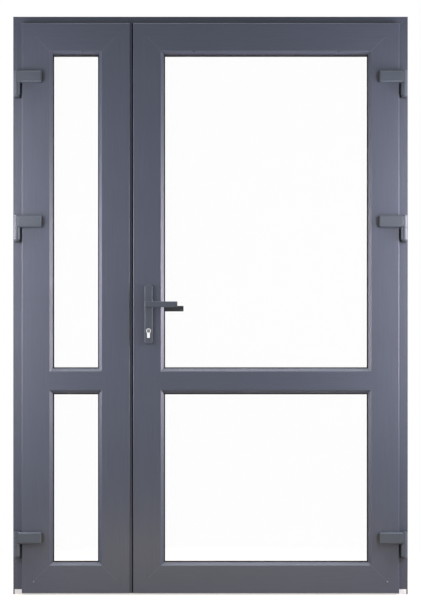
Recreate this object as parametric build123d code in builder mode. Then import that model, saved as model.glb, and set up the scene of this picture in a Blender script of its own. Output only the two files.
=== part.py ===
from build123d import *
import os

# A leaf-and-a-half glazed entrance door in its frame, in millimetres.
# X runs across the doorway, Y through the frame away from the hinge side, Z up from the floor.
# The origin lies on the floor, midway across the frame and midway through its depth.

# Frame profile and overall size
frame_width = 1400.0
frame_height = 2050.0
frame_depth = 70.0
frame_face = 40.0
frame_lip = 22.0
lip_bevel = 7.0
front_chamber = 17.5
profile_wall = 3.0
chamber_web = 2.0

# Places of the leaves in the frame
side_strip = 32.0
head_strip = 26.0
floor_gap = 6.0
meeting_centre = -280.0
meeting_gap = 12.0
sash_proud = 20.0
seal_gap = 3.5
seal_clearance = 0.4

# Leaf profile
sash_depth = 70.0
flange = 20.0
stile_face = 98.0
bevel = 11.0
rebate_setback = 10.0
glazing_lip = 19.0
edge_round = 3.0
hardware_groove = 20.4
groove_depth = 3.0
lock_depth = 30.0
steel_depth = 21.0
mid_rail_face = 66.0
mid_rail_height = 758.0
vent_radius = 2.5
vent_depth = 6.0
vent_inset = 106.0
vent_bevel_share = 0.15

# Glass units, beads and seals
pane_thickness = 4.0
pane_space = 16.0
glass_cover = 15.0
spacer_width = 11.0
front_seal = 3.0
rear_seal = 4.0
seal_cover = 6.0
seal_rim = 4.0
rim_depth = 3.0
bead_bevel = 10.0
seal_width = 6.0
seal_inset = 1.5

# Steel stiffeners in the profiles
steel_wall = 2.0
steel_clearance = 0.3

# Threshold and its end blocks
threshold_height = 18.5
threshold_wall = 2.0
upstand_height = 32.0
upstand_slope = 6.0
jamb_leg = 5.0

# Wall fixings through the jambs
fixing_radius = 5.1
fixing_inset = 180.0
inner_fixing_inset = 700.0

# Hinges
top_hinge_drop = 217.0
middle_hinge_drop = 729.0
bottom_hinge_height = 202.0
hinge_axis_inset = 15.0
hinge_axis_proud = 23.0
knuckle_radius = 12.0
arm_height = 43.0
arm_reach = 95.0
arm_base = 5.0
arm_cover_reach = 88.0
arm_cover_inset = 0.8
arm_cover_round = 4.0
arm_end_round = 15.0
arm_edge_round = 6.0
arm_seam = 1.0
arm_seam_place = 3.0
barrel_height = 48.0
barrel_width = 16.0
barrel_chamfer = 6.0
hinge_slip = 0.4
packer_thickness = 4.0
packer_edge = 1.0
packer_drop = 3.0
pin_radius = 5.0
pin_clearance = 0.05
pin_cap = 5.0

# Handle set
backset = 55.0
spindle_height = 1026.0
cylinder_drop = 92.0
spindle_side = 8.0
socket_clearance = 0.1
plate_width = 27.5
plate_above = 72.0
plate_below = 138.0
plate_thickness = 9.0
plate_corner = 8.0
plate_edge = 2.5
neck_radius = 9.0
turning_clearance = 0.3
neck_seat = 1.0
lever_standoff = 34.0
lever_thickness = 13.0
lever_height = 20.0
lever_heel = 12.0
lever_reach = 103.0
lever_corner = 2.5
lever_round = 2.2
outer_lever_extra = 19.0
outer_lever_drop = 7.0
spindle_insert = 24.0

# Profile cylinder
barrel_radius = 8.5
foot_width = 10.0
foot_drop = 24.5
cylinder_proud = 2.5
plug_radius = 6.5
plug_clearance = 0.05
cam_width = 9.0
cam_slot = 10.0
cam_hub_radius = 8.0
cam_reach = 14.5
cam_nose_width = 7.0
cam_clearance = 1.0
keyway_width = 2.4
keyway_length = 8.5
keyway_depth = 12.0
cutout_clearance = 0.6
plate_clearance = 0.8

# Lock, latch and strike
case_thickness = 18.0
case_wall = 2.0
case_back = 78.0
case_above = 62.0
case_below = 32.0
faceplate_width = 20.0
faceplate_overlap = 22.0
latch_above = 42.0
latch_height = 24.0
latch_throw = 11.0
latch_tail = 34.0
bolt_above_cylinder = 42.0
bolt_height = 22.0
bolt_grip = 16.0
bolt_throw = 20.0
bolt_clearance = 0.4
follower_radius = 13.0
strike_thickness = 5.0
strike_width = 22.0
strike_margin = 14.0
astragal_base = 3.0
astragal_depth = 44.0
astragal_setback = 13.0
nose_reach = 7.5
nose_depth = 9.0
nose_setback = 0.5
meeting_seal_clearance = 0.1
meeting_seal_width = 5.0

# Bolts of the passive leaf
rod_width = 8.0
rod_depth = 12.0
rod_length = 420.0
rod_clearance = 0.3
rod_setback = 2.0
rod_throw = 18.0
button_height = 14.0
button_depth = 8.0
button_proud = 3.0
button_inset = 12.0
keep_thickness = 3.0
keep_margin = 9.0

overrun = 5.0

# Worked-out planes and lines
left_edge = -frame_width / 2
right_edge = frame_width / 2
frame_front = -frame_depth / 2
frame_rear = frame_depth / 2
sash_front = frame_front - sash_proud
sash_rear = sash_front + sash_depth
flange_rear = frame_front - seal_gap
lip_front = sash_rear + seal_gap
rebate_base = stile_face - rebate_setback
sight_line = stile_face + bevel
rebate_front = sash_front + glazing_lip
glass_front = rebate_front + front_seal
glass_depth = 2 * pane_thickness + pane_space
glass_rear = glass_front + glass_depth
bead_front = glass_rear + rear_seal
lock_plane = sash_front + lock_depth
steel_rear = sash_rear - profile_wall
steel_front = steel_rear - steel_depth
half_rail = mid_rail_face / 2
leaf_bottom = floor_gap
leaf_top = frame_height - head_strip
body_top = leaf_top - flange
body_bottom = leaf_bottom + flange
passive_edge = meeting_centre - meeting_gap / 2
active_edge = meeting_centre + meeting_gap / 2
leaf_sides = {
    "passive": (left_edge + side_strip, passive_edge),
    "active": (active_edge, right_edge - side_strip),
}
astragal_front = sash_front + astragal_setback
nose_tip = passive_edge + nose_reach
nose_rear = flange_rear - nose_setback
nose_middle = nose_rear - nose_depth / 2
spindle_x = active_edge + backset
cylinder_height = spindle_height - cylinder_drop
hinge_y = frame_front - hinge_axis_proud
hinge_heights = {
    "top": frame_height - top_hinge_drop,
    "middle": frame_height - middle_hinge_drop,
    "bottom": bottom_hinge_height,
}
arm_front = hinge_y - knuckle_radius
to_right = Vector(1, 0, 0)
to_left = Vector(-1, 0, 0)
upward = Vector(0, 0, 1)
downward = Vector(0, 0, -1)

os.makedirs("parts", exist_ok=True)


def write(piece, name):
    """Label a finished piece and write it as its own file."""
    piece.label = name
    export_step(piece, f"parts/{name}.step")


def chamber(v0, v1, y0, y1):
    """Cut a hollow chamber out of the profile section being drawn."""
    with Locations(((v0 + v1) / 2, (y0 + y1) / 2)):
        Rectangle(v1 - v0, y1 - y0, mode=Mode.SUBTRACT)


def front_plane(y):
    """The upright plane at depth y, seen from the hinge side."""
    return Plane.XZ.offset(-y)


def block(x0, x1, y0, y1, z0, z1, mode=Mode.ADD):
    """A plain block between two corners, in the part being built."""
    middle = ((x0 + x1) / 2, (y0 + y1) / 2, (z0 + z1) / 2)
    with Locations(middle):
        Box(abs(x1 - x0), abs(y1 - y0), abs(z1 - z0), mode=mode)


def mitred_bar(section, start, inward, travel, length, start_mitre=True, end_mitre=True):
    """A profile run from start along travel, its ends cut at 45 degrees where it is mitred."""
    with BuildPart() as bar:
        with BuildSketch(Plane(start, x_dir=inward, z_dir=travel)):
            add(section.sketch)
        extrude(amount=length)
        if start_mitre:
            split(bisect_by=Plane(start, z_dir=travel - inward), keep=Keep.TOP)
        if end_mitre:
            split(bisect_by=Plane(start + travel * length, z_dir=-travel - inward), keep=Keep.TOP)
    return bar.part


def rectangle_runs(x0, x1, z0, z1):
    """The four runs round an upright rectangle: side, start corner, inward way, travel and length."""
    return [
        ("left", Vector(x0, 0, z0), to_right, upward, z1 - z0),
        ("top", Vector(x0, 0, z1), downward, to_right, x1 - x0),
        ("right", Vector(x1, 0, z1), to_left, downward, z1 - z0),
        ("bottom", Vector(x1, 0, z0), upward, to_left, x1 - x0),
    ]


# Profile sections, drawn with X inward from the outer edge and Y through the depth
with BuildSketch() as frame_section:
    with BuildLine():
        Polyline(
            (0, frame_front),
            (frame_face, frame_front),
            (frame_face, lip_front),
            (frame_face + frame_lip, lip_front),
            (frame_face + frame_lip, frame_rear - lip_bevel),
            (frame_face + frame_lip - lip_bevel, frame_rear),
            (0, frame_rear),
            close=True,
        )
    make_face()
    frame_chamber_end = frame_face - profile_wall
    front_web = frame_front + profile_wall + front_chamber
    chamber(profile_wall, frame_chamber_end, frame_front + profile_wall, front_web)
    chamber(profile_wall, frame_chamber_end, front_web + chamber_web, lip_front)
    lip_chamber_end = frame_face + frame_lip - lip_bevel - profile_wall
    chamber(profile_wall, lip_chamber_end, lip_front + profile_wall, frame_rear - profile_wall)


def glazing_side():
    """The outline of a leaf profile's face, bevel and glazing rebate, up to its rear face."""
    return [
        (stile_face, sash_front),
        (sight_line, sash_front + bevel),
        (sight_line, rebate_front),
        (rebate_base, rebate_front),
        (rebate_base, sash_rear),
    ]


def groove_side(edge):
    """The outline of the hardware groove along a leaf profile's outer edge, rear to front."""
    return [
        (edge, sash_rear),
        (edge, lock_plane + hardware_groove / 2),
        (edge + groove_depth, lock_plane + hardware_groove / 2),
        (edge + groove_depth, lock_plane - hardware_groove / 2),
        (edge, lock_plane - hardware_groove / 2),
    ]


def leaf_chambers(edge):
    """Cut the front, lock and steel chambers of a leaf profile whose body starts at edge."""
    inner = rebate_base - profile_wall
    chamber(profile_wall, inner, sash_front + profile_wall, flange_rear - profile_wall)
    chamber(edge + groove_depth + profile_wall, inner, flange_rear, steel_front - profile_wall)
    chamber(edge + profile_wall, inner, steel_front, steel_rear)


with BuildSketch() as flanged_section:
    with BuildLine():
        Polyline(
            (0, sash_front),
            *glazing_side(),
            *groove_side(flange),
            (flange, flange_rear),
            (0, flange_rear),
            close=True,
        )
    make_face()
    outer_corner = flanged_section.vertices().group_by(Axis.X)[0].sort_by(Axis.Y)[0]
    fillet(outer_corner, radius=edge_round)
    leaf_chambers(flange)

with BuildSketch() as square_section:
    with BuildLine():
        Polyline((0, sash_front), *glazing_side(), *groove_side(0), close=True)
    make_face()
    outer_corner = square_section.vertices().group_by(Axis.X)[0].sort_by(Axis.Y)[0]
    fillet(outer_corner, radius=edge_round)
    leaf_chambers(0)

half_rail_body = half_rail - rebate_setback
half_rail_sight = half_rail + bevel
with BuildSketch() as mid_rail_section:
    with BuildLine():
        Polyline(
            (-half_rail, sash_front),
            (half_rail, sash_front),
            (half_rail_sight, sash_front + bevel),
            (half_rail_sight, rebate_front),
            (half_rail_body, rebate_front),
            (half_rail_body, sash_rear),
            (-half_rail_body, sash_rear),
            (-half_rail_body, rebate_front),
            (-half_rail_sight, rebate_front),
            (-half_rail_sight, sash_front + bevel),
            close=True,
        )
    make_face()
    rail_chamber = half_rail_body - profile_wall
    chamber(-half_rail, half_rail, sash_front + profile_wall, rebate_front - profile_wall)
    chamber(-rail_chamber, rail_chamber, rebate_front, steel_front - profile_wall)
    chamber(-rail_chamber, rail_chamber, steel_front, steel_rear)

with BuildSketch() as bead_section:
    with BuildLine():
        Polyline(
            (rebate_base, bead_front),
            (sight_line, bead_front),
            (sight_line, sash_rear - bead_bevel),
            (sight_line - bead_bevel, sash_rear),
            (rebate_base, sash_rear),
            close=True,
        )
    make_face()

with BuildSketch() as flange_seal_section:
    with BuildLine():
        Polyline(
            (seal_inset, flange_rear),
            (seal_inset + seal_width, flange_rear),
            (seal_inset + seal_width / 2, frame_front - seal_clearance),
            close=True,
        )
    make_face()

with BuildSketch() as meeting_seal_section:
    with BuildLine():
        Polyline(
            (nose_tip, nose_middle - meeting_seal_width / 2),
            (active_edge - meeting_seal_clearance, nose_middle),
            (nose_tip, nose_middle + meeting_seal_width / 2),
            close=True,
        )
    make_face()

# Frame head and jambs, with the jambs' feet cut round the threshold
fixing_heights = [
    fixing_inset,
    inner_fixing_inset,
    frame_height - inner_fixing_inset,
    frame_height - fixing_inset,
]
rod_y0 = lock_plane - rod_depth / 2
rod_y1 = lock_plane + rod_depth / 2
rod_x1 = passive_edge - groove_depth - profile_wall - rod_clearance
rod_x0 = rod_x1 - rod_width
for name, section_start, inward, travel, length in rectangle_runs(left_edge, right_edge, 0, frame_height):
    if name == "bottom":
        continue
    with BuildPart() as frame_member:
        add(
            mitred_bar(
                frame_section,
                section_start,
                inward,
                travel,
                length,
                start_mitre=name != "left",
                end_mitre=name != "right",
            )
        )
        if name == "top":
            block(
                rod_x0 - rod_clearance,
                rod_x1 + rod_clearance,
                rod_y0 - rod_clearance,
                rod_y1 + rod_clearance,
                frame_height - frame_face - overrun,
                frame_height - frame_face + profile_wall + overrun,
                mode=Mode.SUBTRACT,
            )
        else:
            outer = left_edge if name == "left" else right_edge
            foot = outer + inward.X * jamb_leg
            inner = outer + inward.X * (frame_face + frame_lip + overrun)
            deep = frame_rear + overrun
            block(foot, inner, -deep, deep, -overrun, threshold_height, mode=Mode.SUBTRACT)
            for height in fixing_heights:
                with Locations(Plane((outer, 0, height), z_dir=to_right)):
                    Cylinder(fixing_radius, 2 * (frame_face + overrun), mode=Mode.SUBTRACT)
    frame_name = "frame_head" if name == "top" else f"frame_{name}_jamb"
    write(frame_member.part, frame_name)

# Threshold: a hollow bar with an upstand behind the leaves
threshold_end = right_edge - frame_face
upstand_end = threshold_end - frame_lip
with BuildPart() as threshold:
    with BuildSketch(Plane((-threshold_end, 0, 0), x_dir=(0, 1, 0), z_dir=(1, 0, 0))):
        with BuildLine():
            Polyline(
                (frame_front, 0),
                (frame_rear, 0),
                (frame_rear, upstand_height - upstand_slope),
                (frame_rear - upstand_slope, upstand_height),
                (lip_front, upstand_height),
                (lip_front, threshold_height),
                (frame_front, threshold_height),
                close=True,
            )
        make_face()
        hollow_top = threshold_height - threshold_wall
        chamber(frame_front + threshold_wall, -threshold_wall / 2, threshold_wall, hollow_top)
        chamber(threshold_wall / 2, lip_front - threshold_wall, threshold_wall, hollow_top)
        upstand_hollow = frame_rear - upstand_slope - threshold_wall
        hollow_top = upstand_height - upstand_slope
        chamber(lip_front + threshold_wall, upstand_hollow, threshold_wall, hollow_top)
    extrude(amount=2 * threshold_end)
    for end in (-1, 1):
        block(
            end * upstand_end,
            end * (threshold_end + overrun),
            lip_front - overrun,
            frame_rear + overrun,
            threshold_height,
            upstand_height + overrun,
            mode=Mode.SUBTRACT,
        )
    block(
        rod_x0 - rod_clearance,
        rod_x1 + rod_clearance,
        rod_y0 - rod_clearance,
        rod_y1 + rod_clearance,
        threshold_wall,
        threshold_height + overrun,
        mode=Mode.SUBTRACT,
    )
write(threshold.part, "threshold")

with BuildPart() as threshold_end_blocks:
    for end in (-1, 1):
        block(
            end * threshold_end,
            end * (right_edge - jamb_leg),
            frame_front,
            frame_rear,
            0,
            threshold_height,
        )
write(threshold_end_blocks.part, "threshold_end_blocks")

# Seals on the frame's rebate lip and on the threshold's upstand
lip_seal_outer = frame_face + frame_lip - seal_inset - seal_width
with BuildSketch() as lip_seal_section:
    with BuildLine():
        Polyline(
            (lip_seal_outer, lip_front),
            (lip_seal_outer + seal_width, lip_front),
            (lip_seal_outer + seal_width / 2, sash_rear + seal_clearance),
            close=True,
        )
    make_face()
seal_ring_foot = upstand_height - frame_face - frame_lip
with BuildPart() as frame_seals:
    for name, start, inward, travel, length in rectangle_runs(
        left_edge, right_edge, seal_ring_foot, frame_height
    ):
        add(mitred_bar(lip_seal_section, start, inward, travel, length))
write(frame_seals.part, "frame_seals")

# Steel stiffeners of the frame, in the chambers behind the rebate
frame_steel_front = front_web + chamber_web + steel_clearance
frame_steel_rear = lip_front - steel_clearance
frame_steel_outer = profile_wall + steel_clearance
frame_steel_inner = frame_face - profile_wall - steel_clearance


def tube_section(v0, v1, y0, y1):
    """The section of a steel tube between two corners."""
    with BuildSketch() as tube:
        with Locations(((v0 + v1) / 2, (y0 + y1) / 2)):
            Rectangle(v1 - v0, y1 - y0)
            Rectangle(v1 - v0 - 2 * steel_wall, y1 - y0 - 2 * steel_wall, mode=Mode.SUBTRACT)
    return tube


frame_tube = tube_section(frame_steel_outer, frame_steel_inner, frame_steel_front, frame_steel_rear)
with BuildPart() as frame_steel:
    for name, start, inward, travel, length in rectangle_runs(
        left_edge, right_edge, threshold_height, frame_height
    ):
        if name == "bottom":
            continue
        first_cut = 0 if name == "left" else frame_face
        last_cut = 0 if name == "right" else frame_face
        with BuildSketch(Plane(start + travel * first_cut, x_dir=inward, z_dir=travel)):
            add(frame_tube.sketch)
        extrude(amount=length - first_cut - last_cut)
    for height in fixing_heights:
        with Locations(Plane((0, 0, height), z_dir=to_right)):
            Cylinder(fixing_radius, frame_width, mode=Mode.SUBTRACT)
write(frame_steel.part, "frame_steel")

# Leaves: mitred stiles and rails
lock_x = active_edge + groove_depth
case_top = spindle_height + case_above
case_bottom = cylinder_height - case_below
latch_z = spindle_height + latch_above
bolt_z = cylinder_height + bolt_above_cylinder
strike_top = latch_z + latch_height / 2 + strike_margin
strike_bottom = bolt_z - bolt_height / 2 - strike_margin
bolt_thickness = case_thickness - 2 * case_wall - 2 * bolt_clearance
window = bolt_thickness / 2 + bolt_clearance
top_rod_end = body_top - rod_setback
bottom_rod_end = body_bottom + rod_setback
button_heights = {
    "top": top_rod_end - rod_length + button_inset,
    "bottom": bottom_rod_end + rod_length - button_inset,
}


def rod_along_y(radius, x, z, y0, y1, mode=Mode.ADD):
    """A round rod or hole along Y, in the part being built."""
    with Locations(Plane((x, (y0 + y1) / 2, z), z_dir=(0, 1, 0))):
        Cylinder(radius, abs(y1 - y0), mode=mode)


def cylinder_cutout(clearance, y0, y1):
    """Cut the hole of a profile cylinder through the part being built, from y0 to y1."""
    rod_along_y(barrel_radius + clearance, spindle_x, cylinder_height, y0, y1, mode=Mode.SUBTRACT)
    half = foot_width / 2 + clearance
    foot = cylinder_height - foot_drop - clearance
    block(spindle_x - half, spindle_x + half, y0, y1, foot, cylinder_height, mode=Mode.SUBTRACT)


def spindle_hole(y0, y1):
    """Cut the hole of the lever's spindle through the part being built, from y0 to y1."""
    rod_along_y(neck_radius, spindle_x, spindle_height, y0, y1, mode=Mode.SUBTRACT)


def button_slots(x0, x1):
    """Cut the slots of the two bolt buttons through a wall from x0 to x1."""
    for height, way in ((button_heights["top"], 1), (button_heights["bottom"], -1)):
        rest_end = height - way * (button_height / 2 + rod_clearance)
        far_end = height + way * (button_height / 2 + rod_throw + rod_clearance)
        half = button_depth / 2 + rod_clearance
        block(x0, x1, lock_plane - half, lock_plane + half, rest_end, far_end, mode=Mode.SUBTRACT)


def bolt_window(x0, x1, z, height):
    """Cut the window of a latch or bolt through a wall from x0 to x1."""
    half = height / 2 + bolt_clearance
    block(x0, x1, lock_plane - window, lock_plane + window, z - half, z + half, mode=Mode.SUBTRACT)


leaf_parts = {}
for leaf, (x0, x1) in leaf_sides.items():
    hinge_side = "left" if leaf == "passive" else "right"
    for name, start, inward, travel, length in rectangle_runs(x0, x1, leaf_bottom, leaf_top):
        meeting = name in ("left", "right") and name != hinge_side
        member = mitred_bar(
            square_section if meeting else flanged_section, start, inward, travel, length
        )
        if name in ("top", "bottom"):
            leaf_parts[f"{leaf}_{name}_rail"] = member
        elif meeting:
            leaf_parts[f"{leaf}_meeting_stile"] = member
        else:
            leaf_parts[f"{leaf}_hinge_stile"] = member

for leaf, (x0, x1) in leaf_sides.items():
    vent_places = [x0 + sight_line + vent_inset]
    if x1 - x0 > 2 * (sight_line + vent_inset):
        vent_places.append(x1 - sight_line - vent_inset)
    with BuildPart() as top_rail:
        add(leaf_parts[f"{leaf}_top_rail"])
        vent_height = leaf_top - stile_face - bevel * vent_bevel_share
        with BuildSketch(front_plane(sash_front + vent_depth)):
            with Locations(*[(place, vent_height) for place in vent_places]):
                Circle(vent_radius)
        extrude(amount=vent_depth + overrun, mode=Mode.SUBTRACT)
    write(top_rail.part, f"{leaf}_top_rail")
    write(leaf_parts[f"{leaf}_bottom_rail"], f"{leaf}_bottom_rail")
    write(leaf_parts[f"{leaf}_hinge_stile"], f"{leaf}_hinge_stile")

    # The mid rail's ends are coped over the stiles' bevels
    with BuildPart() as mid_rail:
        rail_start = Vector(x0 + rebate_base, 0, mid_rail_height)
        with BuildSketch(Plane(rail_start, x_dir=downward, z_dir=to_right)):
            add(mid_rail_section.sketch)
        extrude(amount=x1 - x0 - 2 * rebate_base)
        for edge, inward in ((x0, 1), (x1, -1)):
            low = mid_rail_height - half_rail_sight - overrun
            with BuildSketch(Plane.XY.offset(low)):
                with BuildLine():
                    Polyline(
                        (edge, sash_front - overrun),
                        (edge + inward * stile_face, sash_front - overrun),
                        (edge + inward * stile_face, sash_front),
                        (edge + inward * sight_line, sash_front + bevel),
                        (edge + inward * sight_line, rebate_front),
                        (edge, rebate_front),
                        close=True,
                    )
                make_face()
            extrude(amount=2 * (half_rail_sight + overrun), mode=Mode.SUBTRACT)
        if leaf == "active":
            rail_vent = mid_rail_height - half_rail - bevel * vent_bevel_share
            with BuildSketch(front_plane(sash_front + vent_depth)):
                with Locations(*[(place, rail_vent) for place in vent_places]):
                    Circle(vent_radius)
            extrude(amount=vent_depth + overrun, mode=Mode.SUBTRACT)
    write(mid_rail.part, f"{leaf}_mid_rail")


def clear_flange_ends():
    """Take a square-edged stile's corners back to the flange line, so that they clear the frame."""
    low = min(passive_edge, active_edge) - flange - overrun
    high = max(passive_edge, active_edge) + flange + overrun
    rear = sash_rear + overrun
    block(low, high, flange_rear, rear, body_top, leaf_top + overrun, mode=Mode.SUBTRACT)
    block(low, high, flange_rear, rear, leaf_bottom - overrun, body_bottom, mode=Mode.SUBTRACT)


with BuildPart() as passive_meeting_stile:
    add(leaf_parts["passive_meeting_stile"])
    clear_flange_ends()
    groove_floor = passive_edge - groove_depth - profile_wall
    button_slots(groove_floor - rod_clearance, passive_edge)
    bolt_window(groove_floor - overrun, passive_edge, bolt_z, bolt_height)
write(passive_meeting_stile.part, "passive_meeting_stile")

with BuildPart() as active_meeting_stile:
    add(leaf_parts["active_meeting_stile"])
    clear_flange_ends()
    half_case = case_thickness / 2 + bolt_clearance
    block(
        lock_x,
        lock_x + profile_wall + overrun,
        lock_plane - half_case,
        lock_plane + half_case,
        case_bottom - bolt_clearance,
        case_top + bolt_clearance,
        mode=Mode.SUBTRACT,
    )
    spindle_hole(sash_front - overrun, sash_rear + overrun)
    cylinder_cutout(cutout_clearance, sash_front - overrun, sash_rear + overrun)
write(active_meeting_stile.part, "active_meeting_stile")

# Steel stiffeners of the leaves
steel_y0 = steel_front + steel_clearance
steel_y1 = steel_rear - steel_clearance
steel_inner = rebate_base - profile_wall - steel_clearance
flanged_tube = tube_section(flange + profile_wall + steel_clearance, steel_inner, steel_y0, steel_y1)
square_tube = tube_section(profile_wall + steel_clearance, steel_inner, steel_y0, steel_y1)
half_rail_steel = rail_chamber - steel_clearance
rail_tube = tube_section(-half_rail_steel, half_rail_steel, steel_y0, steel_y1)
for leaf, (x0, x1) in leaf_sides.items():
    hinge_side = "left" if leaf == "passive" else "right"
    with BuildPart() as leaf_steel:
        for name, start, inward, travel, length in rectangle_runs(x0, x1, leaf_bottom, leaf_top):
            meeting = name in ("left", "right") and name != hinge_side
            with BuildSketch(Plane(start + travel * rebate_base, x_dir=inward, z_dir=travel)):
                add((square_tube if meeting else flanged_tube).sketch)
            extrude(amount=length - 2 * rebate_base)
        rail_start = Vector(x0 + rebate_base, 0, mid_rail_height)
        with BuildSketch(Plane(rail_start, x_dir=downward, z_dir=to_right)):
            add(rail_tube.sketch)
        extrude(amount=x1 - x0 - 2 * rebate_base)
        if leaf == "active":
            spindle_hole(sash_front, sash_rear + overrun)
            cylinder_cutout(cutout_clearance, sash_front, sash_rear + overrun)
    write(leaf_steel.part, f"{leaf}_steel")


# Glass units, beads and seals
def pane_openings(x0, x1):
    """The sight rectangles of a leaf's upper and lower panes: x0, x1, z0, z1."""
    sides = (x0 + sight_line, x1 - sight_line)
    return {
        "upper": (*sides, mid_rail_height + half_rail_sight, leaf_top - sight_line),
        "lower": (*sides, leaf_bottom + sight_line, mid_rail_height - half_rail_sight),
    }


def ring(opening, outer, inner, y0, y1):
    """A flat ring round an opening, grown by outer and shrunk by inner, between two depths."""
    ox0, ox1, oz0, oz1 = opening
    width = ox1 - ox0
    height = oz1 - oz0
    with BuildPart() as flat_ring:
        with BuildSketch(front_plane(y1)):
            with Locations(((ox0 + ox1) / 2, (oz0 + oz1) / 2)):
                Rectangle(width + 2 * outer, height + 2 * outer)
                Rectangle(width - 2 * inner, height - 2 * inner, mode=Mode.SUBTRACT)
        extrude(amount=y1 - y0)
    return flat_ring.part


for leaf, (x0, x1) in leaf_sides.items():
    openings = pane_openings(x0, x1)
    for place, (ox0, ox1, oz0, oz1) in openings.items():
        with BuildPart() as glass:
            for pane_front in (glass_front, glass_rear - pane_thickness):
                block(
                    ox0 - glass_cover,
                    ox1 + glass_cover,
                    pane_front,
                    pane_front + pane_thickness,
                    oz0 - glass_cover,
                    oz1 + glass_cover,
                )
        write(glass.part, f"{leaf}_{place}_glass")
    spacer_y0 = glass_front + pane_thickness
    spacer_y1 = glass_rear - pane_thickness
    with BuildPart() as spacers:
        for opening in openings.values():
            add(ring(opening, glass_cover, spacer_width - glass_cover, spacer_y0, spacer_y1))
    write(spacers.part, f"{leaf}_spacers")

    beads = []
    for ox0, ox1, oz0, oz1 in openings.values():
        bead_runs = rectangle_runs(
            ox0 - sight_line, ox1 + sight_line, oz0 - sight_line, oz1 + sight_line
        )
        for name, start, inward, travel, length in bead_runs:
            beads.append(mitred_bar(bead_section, start, inward, travel, length).solid())
    write(Compound(beads), f"{leaf}_beads")

    # The front seals show as a dark rim, the rear ones lie under the beads
    hinge_side = "left" if leaf == "passive" else "right"
    with BuildPart() as leaf_seals:
        for opening in openings.values():
            add(ring(opening, seal_cover, seal_rim, rebate_front, glass_front))
            add(ring(opening, 0, seal_rim, rebate_front - rim_depth, rebate_front))
            add(ring(opening, seal_cover, seal_rim / 2, glass_rear, bead_front))
        if leaf == "passive":
            with BuildSketch(Plane.XY.offset(leaf_bottom)):
                add(meeting_seal_section.sketch)
            extrude(amount=leaf_top - leaf_bottom)
        for name, start, inward, travel, length in rectangle_runs(x0, x1, leaf_bottom, leaf_top):
            if name in ("top", "bottom", hinge_side):
                starts_meeting = (name == "top") == (leaf == "active")
                add(
                    mitred_bar(
                        flange_seal_section,
                        start,
                        inward,
                        travel,
                        length,
                        start_mitre=name == hinge_side or not starts_meeting,
                        end_mitre=name == hinge_side or starts_meeting,
                    )
                )
    write(leaf_seals.part, f"{leaf}_seals")

# Astragal on the passive leaf's meeting edge: a base plate and a nose over the whole height
with BuildPart() as astragal:
    block(
        passive_edge,
        passive_edge + astragal_base,
        nose_rear,
        astragal_front + astragal_depth,
        body_bottom,
        body_top,
    )
    block(passive_edge, nose_tip, nose_rear - nose_depth, nose_rear, leaf_bottom, leaf_top)
    button_slots(passive_edge, passive_edge + astragal_base)
    bolt_window(passive_edge, passive_edge + astragal_base, bolt_z, bolt_height)
    bolt_window(passive_edge, passive_edge + astragal_base, latch_z, latch_height)
write(astragal.part, "astragal")

# Strike plate on the astragal, with windows for the latch and the deadbolt
strike_x0 = passive_edge + astragal_base
strike_x1 = strike_x0 + strike_thickness
with BuildPart() as strike_plate:
    half = strike_width / 2
    block(strike_x0, strike_x1, lock_plane - half, lock_plane + half, strike_bottom, strike_top)
    bolt_window(strike_x0, strike_x1, latch_z, latch_height)
    bolt_window(strike_x0, strike_x1, bolt_z, bolt_height)
write(strike_plate.part, "strike_plate")

# Sliding bolts in the passive leaf's meeting stile, each with a button at the edge
rod_spans = {
    "top": (top_rod_end - rod_length, top_rod_end),
    "bottom": (bottom_rod_end, bottom_rod_end + rod_length),
}
for place, (z0, z1) in rod_spans.items():
    with BuildPart() as edge_bolt:
        block(rod_x0, rod_x1, rod_y0, rod_y1, z0, z1)
        middle = button_heights[place]
        block(
            rod_x1,
            passive_edge + astragal_base + button_proud,
            lock_plane - button_depth / 2,
            lock_plane + button_depth / 2,
            middle - button_height / 2,
            middle + button_height / 2,
        )
    write(edge_bolt.part, f"{place}_edge_bolt")

with BuildPart() as bolt_keeps:
    for z0, z1 in (
        (frame_height - frame_face - keep_thickness, frame_height - frame_face),
        (threshold_height, threshold_height + keep_thickness),
    ):
        y_margin = (hardware_groove - rod_depth) / 2
        block(
            rod_x0 - keep_margin, rod_x1 + keep_margin, rod_y0 - y_margin, rod_y1 + y_margin, z0, z1
        )
        block(
            rod_x0 - rod_clearance,
            rod_x1 + rod_clearance,
            rod_y0 - rod_clearance,
            rod_y1 + rod_clearance,
            z0,
            z1,
            mode=Mode.SUBTRACT,
        )
write(bolt_keeps.part, "bolt_keeps")

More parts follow.
